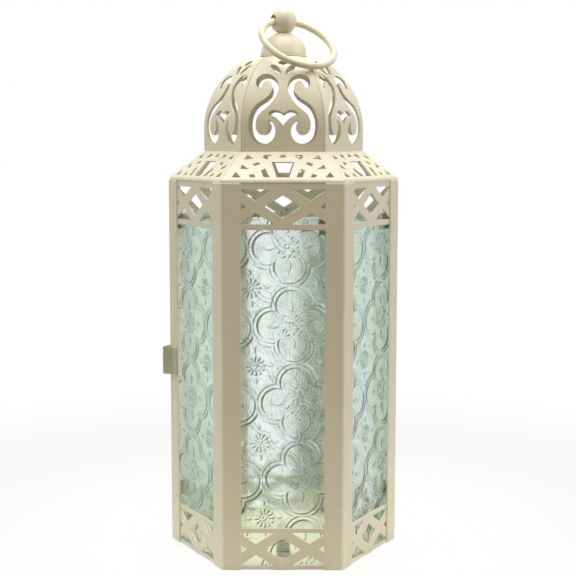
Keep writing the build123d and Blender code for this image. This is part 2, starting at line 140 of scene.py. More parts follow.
class Signal:
    """A shader socket that takes part in Python arithmetic."""

    def __init__(self, tree: ShaderTree, socket: Optional[bpy.types.NodeSocket]) -> None:
        """Hold a socket and the tree that its maths goes to."""
        self.tree = tree
        self.socket = socket

    def __add__(self, other: Number) -> Signal:
        """Sum of two values."""
        return self.tree.maths("ADD", self, other)

    def __radd__(self, other: Number) -> Signal:
        """Sum with a plain number on the left."""
        return self.tree.maths("ADD", other, self)

    def __sub__(self, other: Number) -> Signal:
        """Difference of two values."""
        return self.tree.maths("SUBTRACT", self, other)

    def __rsub__(self, other: Number) -> Signal:
        """Difference from a plain number on the left."""
        return self.tree.maths("SUBTRACT", other, self)

    def __mul__(self, other: Number) -> Signal:
        """Product of two values."""
        return self.tree.maths("MULTIPLY", self, other)

    def __rmul__(self, other: Number) -> Signal:
        """Product with a plain number on the left."""
        return self.tree.maths("MULTIPLY", other, self)

    def __truediv__(self, other: Number) -> Signal:
        """Quotient of two values."""
        return self.tree.maths("DIVIDE", self, other)

    def __rtruediv__(self, other: Number) -> Signal:
        """Quotient with a plain number on the left."""
        return self.tree.maths("DIVIDE", other, self)

    def __gt__(self, other: Number) -> Signal:
        """One where this value is the greater, and zero elsewhere."""
        return self.tree.maths("GREATER_THAN", self, other)

    def __abs__(self) -> Signal:
        """This value without its sign."""
        return self.tree.maths("ABSOLUTE", self, 0.0)

    def at_least(self, least: float) -> Signal:
        """This value, or the least one where it is smaller."""
        return self.tree.maths("MAXIMUM", self, least)

    def clamped(self) -> Signal:
        """This value kept between zero and one."""
        return self.tree.maths("MINIMUM", self.at_least(0.0), 1.0)

    def faded(self, start: float, width: float) -> Signal:
        """A ramp from zero at the start to one a width further on."""
        return ((self - start) * (1.0 / width)).clamped()


Number = Union[Signal, float]
Value = Union[Signal, float, Sequence[float]]


class ShaderTree:
    """A node tree with one way of adding nodes."""

    def __init__(self, tree: bpy.types.NodeTree) -> None:
        """Empty the tree and keep it."""
        self.tree = tree
        self.tree.nodes.clear()

    @classmethod
    def of_material(cls, name: str) -> Tuple[ShaderTree, bpy.types.Material]:
        """Make a new material.

        Args:
            name: the material's name.

        Returns:
            The material's empty tree, and the material.
        """
        material = bpy.data.materials.new(name)
        material.use_nodes = True
        return cls(material.node_tree), material

    def node(self, kind: str, settings: Optional[Dict[str, object]] = None,
             sockets: Optional[Dict[Union[str, int], Value]] = None, output: Union[str, int] = 0) -> Signal:
        """Add a node.

        Args:
            kind: the node's type.
            settings: properties of the node, set first.
            sockets: value or link of each input, by name or number.
            output: the output to carry on with.

        Returns:
            The chosen output.
        """
        made = self.tree.nodes.new(kind)
        for key, value in (settings or {}).items():
            setattr(made, key, value)
        for key, value in (sockets or {}).items():
            if isinstance(value, Signal):
                self.tree.links.new(value.socket, made.inputs[key])
            else:
                made.inputs[key].default_value = value
        return Signal(self, made.outputs[output] if made.outputs else None)

    def maths(self, operation: str, first: Number, second: Number) -> Signal:
        """One Math node on two values."""
        return self.node("ShaderNodeMath", {"operation": operation}, {0: first, 1: second})

    def blend(self, first: Value, second: Value, share: Number) -> Signal:
        """Two colours mixed, with the share of the second."""
        return self.node("ShaderNodeMix", {"data_type": "RGBA"}, {0: share, 6: first, 7: second}, 2)

    def noise(self, where: Signal, scale: float, detail: float = 2.0, roughness: float = 0.5) -> Signal:
        """Grain of a given scale, in cycles per metre."""
        sockets = {"Vector": where, "Scale": scale, "Detail": detail, "Roughness": roughness}
        return self.node("ShaderNodeTexNoise", None, sockets)

    def mark(self, attribute: str) -> Signal:
        """A mesh attribute's value."""
        return self.node("ShaderNodeAttribute", {"attribute_name": attribute}, output="Fac")

    def bump(self, height: Signal, strength: float, distance: float) -> Signal:
        """A normal that a height tilts."""
        sockets = {"Strength": strength, "Distance": distance, "Height": height}
        return self.node("ShaderNodeBump", None, sockets, "Normal")

    def plan(self, where: Signal) -> List[Signal]:
        """The X and the Y of a vector."""
        return [self.node("ShaderNodeSeparateXYZ", None, {0: where}, axis) for axis in "XY"]


@dataclass(frozen=True)
class Mottle:
    """Soft patches, from noise that is cut off below a level and stretched above it."""

    scale: float
    detail: float
    level: float
    gain: float
    roughness: float = 0.5

    def grain(self, tree: ShaderTree, where: Signal) -> Signal:
        """The plain noise."""
        return tree.noise(where, self.scale, self.detail, self.roughness)

    def mask(self, grain: Signal) -> Signal:
        """The patches, from zero to one, in the plain noise."""
        return ((grain - self.level) * self.gain).clamped()


@dataclass(frozen=True)
class CreamEnamel:
    """Sprayed enamel: a little uneven, with orange peel and specks, and paler where it thins on edges."""

    name: str = "cream_enamel"
    cream: Colour = (0.800, 0.745, 0.585, 1.0)
    warm: Colour = (0.745, 0.675, 0.505, 1.0)
    thin: Colour = (0.870, 0.835, 0.715, 1.0)
    speck: Colour = (0.420, 0.340, 0.230, 1.0)
    cloud: Mottle = Mottle(30.0, 3.0, 0.36, 2.6)
    cloud_share: float = 0.55
    rub: Mottle = Mottle(160.0, 4.0, 0.42, 4.0, 0.6)
    rub_share: float = 0.45
    edge_share: float = 0.30
    speck_scale: float = 1400.0
    speck_level: float = 0.768
    speck_share: float = 0.5
    roughness: float = 0.36
    cloud_roughness: float = 0.10
    peel_roughness: float = 0.12
    edge_polish: float = 0.05
    peel_scale: float = 950.0
    peel_depth: float = 0.00004
    peel_strength: float = 0.7
    swell: float = 2.0
    ior: float = 1.48

    def material(self) -> bpy.types.Material:
        """Mix the paint.

        Returns:
            The paint as a material.
        """
        tree, material = ShaderTree.of_material(self.name)
        place = tree.node("ShaderNodeTexCoord", output="Object")
        edge = tree.mark(EDGE_ATTRIBUTE)
        broad = self.cloud.grain(tree, place)
        cloud = self.cloud.mask(broad)
        rub = self.rub.mask(self.rub.grain(tree, place)) * edge
        speck = (tree.noise(place, self.speck_scale, 1.0) > self.speck_level) * self.speck_share
        peel = tree.noise(place, self.peel_scale)
        colour = tree.blend(self.cream, self.warm, cloud * self.cloud_share)
        colour = tree.blend(colour, self.thin, self.edge_share * edge + self.rub_share * rub)
        colour = tree.blend(colour, self.speck, speck)
        roughness = self.roughness + self.cloud_roughness * cloud
        roughness = roughness + self.peel_roughness * (peel - 0.5) - self.edge_polish * edge
        shader = tree.node("ShaderNodeBsdfPrincipled", None, {
            "Base Color": colour, "Roughness": roughness, "IOR": self.ior,
            "Normal": tree.bump(peel + self.swell * broad, self.peel_strength, self.peel_depth),
        })
        tree.node("ShaderNodeOutputMaterial", None, {"Surface": shader})
        return material


@dataclass(frozen=True)
class PressedGlass:
    """Green-tinted pressed glass, a little wavy, with painted highlights on its crests and painted shade on
    its flanks.
    """

    name: str = "pressed_glass"
    ground: Colour = (0.985, 0.992, 1.000, 1.0)
    milky: Colour = (0.955, 0.975, 0.968, 1.0)
    # Painted highlight colour of the crests, and painted shade colour of the flanks.
    crest_painted_highlight: Colour = (0.990, 1.000, 0.995, 1.0)
    flank_painted_shade: Colour = (0.055, 0.080, 0.045, 1.0)
    tint: Colour = (0.45, 0.81, 0.72, 1.0)
    density: float = 24.0
    haze: Mottle = Mottle(55.0, 3.0, 0.38, 3.0)
    roughness: float = 0.06
    haze_roughness: float = 0.05
    clarity: float = 0.96
    straight: float = 0.46
    # Extra clearness where the painted highlight lies.
    painted_highlight_clear: float = 0.44
    ripple_scale: float = 420.0
    ripple_depth: float = 0.00005
    ripple_strength: float = 0.6
    ior: float = 1.48

    def material(self) -> bpy.types.Material:
        """Melt the glass.

        Returns:
            The glass as a material.
        """
        tree, material = ShaderTree.of_material(self.name)
        place = tree.node("ShaderNodeTexCoord", output="Object")
        # Both marks are painted light, as if lit from the upper left: highlights make crests pale and
        # clearer, and shade makes flanks dark and opaque.
        painted_highlight, painted_shade = tree.mark(HIGHLIGHT_ATTRIBUTE), tree.mark(SHADE_ATTRIBUTE)
        haze = self.haze.mask(self.haze.grain(tree, place))
        colour = tree.blend(self.ground, self.milky, haze)
        colour = tree.blend(colour, self.crest_painted_highlight, painted_highlight)
        colour = tree.blend(colour, self.flank_painted_shade, painted_shade)
        ripple = tree.noise(place, self.ripple_scale)
        shader = tree.node("ShaderNodeBsdfPrincipled", None, {
            "Base Color": colour, "Roughness": self.roughness + self.haze_roughness * haze, "IOR": self.ior,
            "Transmission Weight": self.clarity,
            "Alpha": 1.0 - (self.straight + self.painted_highlight_clear * painted_highlight) * (1.0 - painted_shade),
            "Normal": tree.bump(ripple, self.ripple_strength, self.ripple_depth),
        })
        volume = tree.node("ShaderNodeVolumeAbsorption", None, {"Color": self.tint, "Density": self.density})
        tree.node("ShaderNodeOutputMaterial", None, {"Surface": shader, "Volume": volume})
        return material


@dataclass(frozen=True)
class ZincSteel:
    """Zinc-plated steel with a drawn grain and a dull bloom."""

    name: str = "zinc_steel"
    bright: Colour = (0.62, 0.61, 0.58, 1.0)
    dull: Colour = (0.36, 0.35, 0.33, 1.0)
    bloom: Mottle = Mottle(260.0, 4.0, 0.40, 3.0)
    roughness: float = 0.30
    bloom_roughness: float = 0.22
    grain: Mottle = Mottle(700.0, 3.0, 0.0, 1.0)
    grain_stretch: Place = (1.0, 1.0, 9.0)
    grain_depth: float = 0.00003
    grain_strength: float = 0.4

    def material(self) -> bpy.types.Material:
        """Plate the steel.

        Returns:
            The plated steel as a material.
        """
        tree, material = ShaderTree.of_material(self.name)
        place = tree.node("ShaderNodeTexCoord", output="Object")
        stretched = tree.node("ShaderNodeMapping", None, {"Vector": place, "Scale": self.grain_stretch})
        grain = self.grain.grain(tree, stretched)
        bloom = self.bloom.mask(self.bloom.grain(tree, place))
        shader = tree.node("ShaderNodeBsdfPrincipled", None, {
            "Base Color": tree.blend(self.bright, self.dull, bloom), "Metallic": 1.0,
            "Roughness": self.roughness + self.bloom_roughness * bloom,
            "Normal": tree.bump(grain, self.grain_strength, self.grain_depth),
        })
        tree.node("ShaderNodeOutputMaterial", None, {"Surface": shader})
        return material


class Bench:
    """Mesh work on one object at a time, with its tolerances in metres."""

    MERGE = 2e-6
    SLIVER = 1e-6
    FACE_WEIGHT = 80

    @staticmethod
    def take(piece: bpy.types.Object) -> None:
        """Make this the one selected and active object."""
        bpy.ops.object.select_all(action="DESELECT")
        piece.select_set(True)
        bpy.context.view_layer.objects.active = piece

    @staticmethod
    def edit(piece: bpy.types.Object, mode: str) -> None:
        """Go into edit mode on a piece with one kind of element selectable."""
        Bench.take(piece)
        bpy.ops.object.mode_set(mode="EDIT")
        bpy.ops.mesh.select_mode(type=mode)

    @staticmethod
    def leave() -> None:
        """Go back to object mode."""
        bpy.ops.object.mode_set(mode="OBJECT")

    @staticmethod
    def copy_of(node: bpy.types.Object, flat_angle: float = 0.6) -> bpy.types.Object:
        """Make a clean copy of a CAD node.

        Args:
            node: the CAD node's object.
            flat_angle: faces within this angle, in degrees, become one.

        Returns:
            The copy, with its doubles merged and its flat faces joined.
        """
        piece = bpy.data.objects.new(f"{node.name}_rolled", node.data.copy())
        bpy.context.scene.collection.objects.link(piece)
        piece.data.name = piece.name
        Bench.take(piece)
        bpy.ops.mesh.customdata_custom_splitnormals_clear()
        Bench.edit(piece, "VERT")
        bpy.ops.mesh.select_all(action="SELECT")
        bpy.ops.mesh.remove_doubles(threshold=Bench.MERGE)
        bpy.ops.mesh.dissolve_limited(angle_limit=math.radians(flat_angle))
        Bench.leave()
        return piece

    @staticmethod
    def keep_selected(mesh: bpy.types.Mesh, wanted: EdgeTest) -> None:
        """Leave only the wanted edges of a selection selected.

        Args:
            mesh: the mesh, in object mode.
            wanted: says by its two ends whether an edge stays.
        """
        for edge in mesh.edges:
            if edge.select:
                first, second = (mesh.vertices[number].co for number in edge.vertices)
                edge.select = wanted(first, second)
        for elements in (mesh.vertices, mesh.polygons):
            elements.foreach_set("select", np.zeros(len(elements), bool))

    @staticmethod
    def roll_edges(piece: bpy.types.Object, radius: float, wanted: Optional[EdgeTest] = None,
                   segments: int = 2, sharpness: float = 35.0) -> None:
        """Round a piece's sharp edges and mark the rounded faces.

        Args:
            piece: the mesh object.
            radius: width of the rounding, in millimetres.
            wanted: says by its two ends whether an edge is rounded; all sharp edges are if it is left out.
            segments: faces across the rounding.
            sharpness: least angle of an edge that is rounded, in degrees.
        """
        mesh = piece.data
        Bench.edit(piece, "EDGE")
        bpy.ops.mesh.select_all(action="DESELECT")
        bpy.ops.mesh.edges_select_sharp(sharpness=math.radians(sharpness))
        Bench.leave()
        if wanted is not None:
            Bench.keep_selected(mesh, wanted)
        Bench.edit(piece, "EDGE")
        bpy.ops.mesh.bevel(offset_type="OFFSET", offset=radius * MM, segments=segments, profile=0.5,
                           affect="EDGES", clamp_overlap=True, loop_slide=False)
        Bench.leave()
        marks = mesh.attributes.get(EDGE_ATTRIBUTE) or mesh.attributes.new(EDGE_ATTRIBUTE, "FLOAT", "FACE")
        old = np.zeros(len(mesh.polygons), np.float32)
        marks.data.foreach_get("value", old)
        new = np.zeros(len(mesh.polygons), bool)
        mesh.polygons.foreach_get("select", new)
        marks.data.foreach_set("value", np.maximum(old, new.astype(np.float32)))

    @staticmethod
    def smooth(piece: bpy.types.Object, angle: float = 40.0) -> None:
        """Clear slivers from a piece and shade it smooth, with flat faces kept flat.

        Args:
            piece: the mesh object.
            angle: edges sharper than this, in degrees, stay sharp.
        """
        Bench.edit(piece, "VERT")
        bpy.ops.mesh.select_all(action="SELECT")
        bpy.ops.mesh.remove_doubles(threshold=Bench.SLIVER)
        bpy.ops.mesh.dissolve_degenerate(threshold=Bench.SLIVER)
        Bench.leave()
        Bench.take(piece)
        bpy.ops.object.shade_smooth_by_angle(angle=math.radians(angle))
        weigh = piece.modifiers.new("weigh", "WEIGHTED_NORMAL")
        weigh.weight = Bench.FACE_WEIGHT
        weigh.keep_sharp = True
        bpy.ops.object.modifier_apply(modifier=weigh.name)

    @staticmethod
    def settle(piece: bpy.types.Object) -> None:
        """Put a piece's place into its mesh, with the object at the origin."""
        Bench.take(piece)
        bpy.ops.object.transform_apply(location=True, rotation=True, scale=True)


class Dresser:
    """Gives finished pieces their material and body, and hides the CAD nodes that they stand in for."""

    def __init__(self, frame: Dict[str, object]) -> None:
        """Keep the CAD nodes and joints by name, and make the finishes.
        """
        self.nodes: Dict[str, bpy.types.Object] = frame["nodes"]
        self.joints: Dict[str, Dict[str, object]] = {joint["name"]: joint for joint in frame["joints"]}
        self.finishes = {
            Slot.PAINT: CreamEnamel().material(),
            Slot.GLASS: PressedGlass().material(),
            Slot.STEEL: ZincSteel().material(),
        }

    def dress(self, piece: bpy.types.Object, slot: Slot, body: Body, node: str) -> None:
        """Finish a new piece.

        Args:
            piece: the piece, in place.
            slot: the finish and the record's slot.
            body: the CAD body that it moves with.
            node: the CAD node that it replaces.
        """
        piece.data.materials.clear()
        piece.data.materials.append(self.finishes[slot])
        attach(piece, body.value)
        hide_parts(node)
        log.info("%s: %d faces", piece.name, len(piece.data.polygons))

    def rolled_copy(self, name: str, radius: float, body: Body = Body.CAGE, wanted: Optional[EdgeTest] = None,
                    slot: Slot = Slot.PAINT, segments: int = 2) -> bpy.types.Object:
        """Stand a copy with rounded edges in for a CAD node.

        Args:
            name: the CAD node.
            radius: width of the rounding, in millimetres.
            body: the CAD body that it moves with.
            wanted: says by its two ends whether an edge is rounded.
            slot: the finish.
            segments: faces across the rounding.

        Returns:
            The copy.
        """
        piece = Bench.copy_of(self.nodes[name])
        Bench.roll_edges(piece, radius, wanted, segments)
        Bench.smooth(piece)
        self.dress(piece, slot, body, name)
        return piece


@dataclass
class Cage:
    """Base pan, corner posts, lattices and pane keepers."""

    posts: int = 6
    corner_radius: float = 54.0
    fold_room: float = 0.7
    fold_length: float = 50.0
    fold_radius: float = 0.9
    fold_steps: int = 4
    post_edge: float = 0.16
    lattice_edge: float = 0.20
    pan_edge: float = 0.2
    keeper_edge: float = 0.12

    def is_fold(self, first: Vector, second: Vector) -> bool:
        """Tell the outside fold of a post by its place and length.

        Args:
            first: one end of an edge.
            second: its other end.

        Returns:
            Whether the edge is the fold.
        """
        least = (self.corner_radius - self.fold_room) * MM
        at_corner = all(math.hypot(point.x, point.y) > least for point in (first, second))
        return at_corner and abs(first.z - second.z) > self.fold_length * MM

    def build(self, dresser: Dresser) -> None:
        """Build the cage's sheet-metal pieces.

        Args:
            dresser: finishes the pieces.
        """
        dresser.rolled_copy("base_pan", self.pan_edge)
        for number in range(1, self.posts + 1):
            self.post(dresser, f"corner_post_{number}")
        for side in Side:
            if not side.is_door:
                for level in ("top", "bottom"):
                    dresser.rolled_copy(f"{level}_lattice_{side.label}", self.lattice_edge)
        dresser.rolled_copy("pane_keepers", self.keeper_edge)

    def post(self, dresser: Dresser, name: str) -> None:
        """Build one corner post, with a soft outside fold and thin rolled edges.

        Args:
            dresser: finishes the piece.
            name: the CAD node.
        """
        piece = Bench.copy_of(dresser.nodes[name])
        Bench.roll_edges(piece, self.fold_radius, self.is_fold, self.fold_steps)
        Bench.roll_edges(piece, self.post_edge)
        Bench.smooth(piece)
        dresser.dress(piece, Slot.PAINT, Body.CAGE, name)


@dataclass
class Crown:
    """Pierced roof panels and dome gores."""

    roof_edge: float = 0.22
    gore_edge: float = 0.24
    seam_room: float = 0.25
    eave_height: float = 174.0
    eave_room: float = 0.05
    eave_radius: float = 1.0
    eave_steps: int = 4
    eave_sharpness: float = 20.0

    def off_seam(self, side: Side) -> EdgeTest:
        """Make a test for edges that don't lie on the mitres of a side.

        Args:
            side: the side.

        Returns:
            The test, which takes an edge's two ends.
        """
        def wanted(first: Vector, second: Vector) -> bool:
            """Whether either end is away from the mitre."""
            flats = (side.flat(point) for point in (first, second))
            gaps = (abs(abs(along) - out * math.tan(HALF_ANGLE)) for along, out in flats)
            return any(gap > self.seam_room * MM for gap in gaps)
        return wanted

    def is_eave(self, first: Vector, second: Vector) -> bool:
        """Whether an edge is the fold between a roof panel and its lip."""
        return all(abs(point.z - self.eave_height * MM) < self.eave_room * MM for point in (first, second))

    def build(self, dresser: Dresser) -> None:
        """Build the six roof panels and the six gores.

        Args:
            dresser: finishes the pieces.
        """
        for side in Side:
            self.roof(dresser, side)
            dresser.rolled_copy(f"dome_gore_{side.label}", self.gore_edge, wanted=self.off_seam(side))

    def roof(self, dresser: Dresser, side: Side) -> None:
        """Build one roof panel, with a soft fold at the eave and thin rolled edges.

        Args:
            dresser: finishes the piece.
            side: the panel's side.
        """
        name = f"roof_panel_{side.label}"
        piece = Bench.copy_of(dresser.nodes[name])
        Bench.roll_edges(piece, self.eave_radius, self.is_eave, self.eave_steps, self.eave_sharpness)
        Bench.roll_edges(piece, self.roof_edge, self.off_seam(side))
        Bench.smooth(piece)
        dresser.dress(piece, Slot.PAINT, Body.CAGE, name)


@dataclass
class Finial:
    """Crown plate, cap, ball and hanging ring, with the stud and nut inside."""

    plate_edge: float = 0.15
    hardware_edge: float = 0.12
    rim: float = 0.35
    rim_steps: int = 3
    ring_radius: float = 17.2
    ring_wire: float = 1.5
    ring_droop: float = 39.3
    ring_steps: int = 128
    wire_steps: int = 28
    joint_bearing: float = -140.0
    joint_pinch: float = 0.94

    def build(self, dresser: Dresser) -> None:
        """Build the finial's pieces.

        Args:
            dresser: finishes the pieces.
        """
        for name in ("crown_plate", "finial_washer"):
            dresser.rolled_copy(name, self.plate_edge)
        for name in ("finial_cap", "finial_ball"):
            dresser.rolled_copy(name, self.rim, segments=self.rim_steps)
        for name in ("finial_stud", "finial_nut", "clamp_washer"):
            dresser.rolled_copy(name, self.hardware_edge, slot=Slot.STEEL)
        self.ring(dresser)

    def ring(self, dresser: Dresser) -> None:
        """Build the wire ring, closed by a butt joint that shows as a fine groove.

        Args:
            dresser: finishes the piece, and gives the joint that the ring swings on.
        """
        bpy.ops.object.select_all(action="DESELECT")
        bpy.ops.mesh.primitive_torus_add(
            major_radius=self.ring_radius * MM, minor_radius=self.ring_wire * MM,
            major_segments=self.ring_steps, minor_segments=self.wire_steps,
        )
        piece = bpy.context.active_object
        piece.name = "hanging_ring_wire"
        for vertex in piece.data.vertices:
            angle = math.atan2(vertex.co.y, vertex.co.x)
            if abs(angle - math.radians(self.joint_bearing)) < math.pi / self.ring_steps:
                spoke = Vector((math.cos(angle), math.sin(angle), 0.0)) * self.ring_radius * MM
                vertex.co = spoke + (vertex.co - spoke) * self.joint_pinch
        joint = dresser.joints["ring_swing"]
        along = -Vector(joint["axis"])
        droop = math.radians(self.ring_droop)
        down = Vector((along.y * math.cos(droop), -along.x * math.cos(droop), -math.sin(droop)))
        centre = Vector(joint["pos_m"]) + down * self.ring_radius * MM
        turn = Matrix((along, down, along.cross(down))).transposed()
        piece.matrix_world = Matrix.Translation(centre) @ turn.to_4x4()
        Bench.settle(piece)
        Bench.take(piece)
        bpy.ops.object.shade_smooth()
        dresser.dress(piece, Slot.PAINT, Body.RING, "hanging_ring")


@dataclass
class Door:
    """Door sheet, pane clips, spring latch and hinges."""

    sheet_edge: float = 0.20
    small_edge: float = 0.14
    # A darker, greener copy of the cream paint for the latch: painted shade on its front face, not a paint of
    # its own.
    latch_shade_paint: CreamEnamel = CreamEnamel(
        name="latch_painted_shade", cream=(0.50, 0.485, 0.365, 1.0), warm=(0.42, 0.405, 0.285, 1.0),
        thin=(0.80, 0.765, 0.63, 1.0))

    def build(self, dresser: Dresser) -> None:
        """Build the door's pieces and the hinges.

        Args:
            dresser: finishes the pieces.
        """
        dresser.rolled_copy("door_frame", self.sheet_edge, Body.DOOR)
        dresser.rolled_copy("door_clips", self.small_edge, Body.DOOR)
        latch = dresser.rolled_copy("latch_clip", self.small_edge, Body.DOOR)
        latch.data.materials[0] = self.latch_shade_paint.material()
        for level in ("lower", "upper"):
            dresser.rolled_copy(f"hinge_leaf_{level}", self.small_edge)
            dresser.rolled_copy(f"door_hinge_leaf_{level}", self.small_edge, Body.DOOR)
            dresser.rolled_copy(f"hinge_pin_{level}", self.small_edge, slot=Slot.STEEL)


def ramp(value: np.ndarray, low: float, high: float) -> np.ndarray:
    """A smooth step from zero at low to one at high."""
    share = np.clip((value - low) / (high - low), 0.0, 1.0)
    return share * share * (3.0 - 2.0 * share)


def wave(angle: np.ndarray) -> np.ndarray:
    """A cosine wave between zero and one."""
    return 0.5 + 0.5 * np.cos(angle)


@dataclass(frozen=True)
class Rib:
    """A rounded rib along a line of equal distance."""

    middle: float
    half: float
    lift: float

    def over(self, distance: np.ndarray) -> np.ndarray:
        """The rib's height at a distance."""
        return self.lift * np.exp(-((distance - self.middle) / self.half) ** 2)


@dataclass(frozen=True)
class Leaf:
    """A leaf along an axis, pointed at both ends."""

    start: float
    end: float
    half: float
    lift: float
    fullest: float = 0.75

    def swell(self, along: np.ndarray, across: np.ndarray) -> np.ndarray:
        """Shape the leaf.

        Args:
            along: distance along the axis.
            across: distance from the axis.

        Returns:
            The leaf's height, as a share of its lift.
        """
        share = np.clip((along - self.start) / (self.end - self.start), 0.0, 1.0)
        width = self.half * np.sin(math.pi * share**self.fullest) + 1e-6
        swell = np.clip(1.0 - (across / width) ** 2, 0.0, 1.0)
        return np.where((along > self.start) & (along < self.end), np.sqrt(swell), 0.0)


@dataclass
class PressedPattern:
    """Raised pattern of the sheet: quatrefoil medallions on a square grid with daisies between them."""

    pitch: float = 34.5
    depth: float = 0.46
    lobe_radius: float = 7.6
    lobe_reach: float = 8.7
    border: Tuple[Rib, Rib] = (Rib(-0.45, 0.66, 0.44), Rib(1.35, 0.62, 0.38))
    bead_margin: Tuple[float, float] = (0.75, 1.35)
    bead_height: float = 0.13
    bead_floor: float = 0.40
    bead_pitch: float = 1.15
    heart: Rib = Rib(0.0, 0.95, 0.42)
    blossom: Leaf = Leaf(0.9, 5.3, 1.70, 0.38)
    drop: Leaf = Leaf(5.8, 11.2, 1.20, 0.34)
    curl: Rib = Rib(1.55, 0.46, 0.32)
    curl_place: float = 2.9
    curl_end: Tuple[float, float] = (5.0, 5.8)
    daisy_ring: Rib = Rib(0.8, 0.34, 0.28)
    petals: int = 12
    petal_start: Tuple[float, float] = (1.2, 2.0)
    petal_end: Tuple[float, float] = (3.7, 4.9)
    petal_lift: float = 0.30
    petal_narrowing: float = 1.3
    wedge: Leaf = Leaf(5.6, 8.4, 0.75, 0.30)
    compare: float = 0.15
    compare_bead: float = 0.03
    # Direction of the painted light, from the upper left: flanks facing right or down get painted shade.
    painted_light_across: float = 0.8
    painted_light_up: float = 0.6

    def medallion(self, axis: np.ndarray, off: np.ndarray, bead: float) -> List[np.ndarray]:
        """Raise a medallion's forms.

        Args:
            axis: distance from its centre along the nearest lobe, in millimetres.
            off: distance from that lobe's axis.
            bead: height of the beads that fill it.

        Returns:
            Heights of the beads, leaves, curl, heart and border.
        """
        lobe = axis - self.lobe_reach
        rho, bearing, radius = np.hypot(lobe, off), np.arctan2(off, lobe), np.hypot(axis, off)
        outline = rho - self.lobe_radius
        rows = rho / self.bead_pitch
        beads = wave(np.maximum(np.round(2 * math.pi * np.round(rows)), 1) * bearing)
        filling = ramp(-outline, *self.bead_margin) * bead * wave(2 * math.pi * rows)
        filling *= self.bead_floor + (1.0 - self.bead_floor) * beads
        blossom, drop = (leaf.swell(axis, off) for leaf in (self.blossom, self.drop))
        full, end = (-distance for distance in self.curl_end)
        curl = self.curl.over(np.hypot(axis - self.curl_place, off - self.curl_place))
        return [
            filling * (1.0 - np.maximum(blossom, drop)),
            self.blossom.lift * blossom,
            self.drop.lift * drop,
            curl * ramp(-radius, end, full),
            self.heart.over(radius),
            sum(rib.over(outline) for rib in self.border),
        ]

    def daisy(self, across: np.ndarray, up: np.ndarray) -> List[np.ndarray]:
        """Raise a daisy's forms.

        Args:
            across: distance across from its centre, in millimetres.
            up: distance up from it.

        Returns:
            Heights of the petals, the wedges round them and the ring in the middle.
        """
        reach = np.hypot(across, up)
        full, end = (-distance for distance in self.petal_end)
        spoke = wave(self.petals * np.arctan2(up, across)) ** self.petal_narrowing
        wedge = self.wedge.swell(np.maximum(across, up), np.minimum(across, up))
        return [
            self.petal_lift * ramp(reach, *self.petal_start) * ramp(-reach, end, full) * spoke,
            self.wedge.lift * wedge,
            self.daisy_ring.over(reach),
        ]

    def height(self, x: np.ndarray, y: np.ndarray, bead: float) -> np.ndarray:
        """Find the height of the pattern.

        Args:
            x: distance across from a medallion's centre, in millimetres.
            y: distance up from it.
            bead: height of the beads inside a medallion.

        Returns:
            Height over the ground, in millimetres.
        """
        across, up = (np.abs(value - np.round(value / self.pitch) * self.pitch) for value in (x, y))
        forms = self.medallion(np.maximum(across, up), np.minimum(across, up), bead)
        forms += self.daisy(self.pitch / 2 - across, self.pitch / 2 - up)
        return np.clip(np.maximum.reduce(forms), 0.0, self.depth)

    def tilt(self, x: np.ndarray, y: np.ndarray) -> Tuple[np.ndarray, np.ndarray]:
        """Find the steepness of the pattern, and how far its flanks face away from a painted light from the
        upper left.

        Args:
            x: distance across from a medallion's centre, in millimetres.
            y: distance up from it.

        Returns:
            Rise over run, and the facing from the painted light, which is positive on flanks that face right
            or down, where painted shade falls.
        """
        step, bead = self.compare, self.compare_bead
        across = (self.height(x + step, y, bead) - self.height(x - step, y, bead)) / (2.0 * step)
        up = (self.height(x, y + step, bead) - self.height(x, y - step, bead)) / (2.0 * step)
        return np.hypot(across, up), self.painted_light_up * up - self.painted_light_across * across


@dataclass(frozen=True)
class PaneCut:
    """Where a pane was cut from the patterned sheet, and how strongly and from which side the painted light
    falls on its flanks.
    """

    side: Side
    centre: Tuple[float, float]
    turn: float
    # Weight and sign of the painted light's lean on this pane.
    painted_light_lean: float = 1.0

    @property
    def node(self) -> str:
        """The pane's CAD node."""
        return "door_glass" if self.side.is_door else f"glass_{self.side.label}"

    def on_sheet(self, along: np.ndarray, up: np.ndarray) -> Tuple[np.ndarray, np.ndarray]:
        """Find points of the pane on the sheet.

        Args:
            along: distance along the side, in millimetres.
            up: height over the ground.

        Returns:
            Distance across and up from a medallion's centre.
        """
        cos, sin = math.cos(math.radians(self.turn)), math.sin(math.radians(self.turn))
        x, y = along - self.centre[0], up - self.centre[1]
        return x * cos + y * sin, y * cos - x * sin


@dataclass(frozen=True)
class PaneBox:
    """Sizes of a pane's CAD node on its side, in millimetres."""

    half_width: float
    inner: float
    outer: float
    bottom: float
    top: float

    @classmethod
    def of(cls, node: bpy.types.Object, side: Side) -> PaneBox:
        """Measure a CAD node.

        Args:
            node: the pane's CAD node.
            side: the side that it stands on.

        Returns:
            The node's sizes.
        """
        points = [(*side.flat(vertex.co), vertex.co.z) for vertex in node.data.vertices]
        along, out, up = np.array(points).T / MM
        return cls(along.max(), out.min(), out.max(), up.min(), up.max())


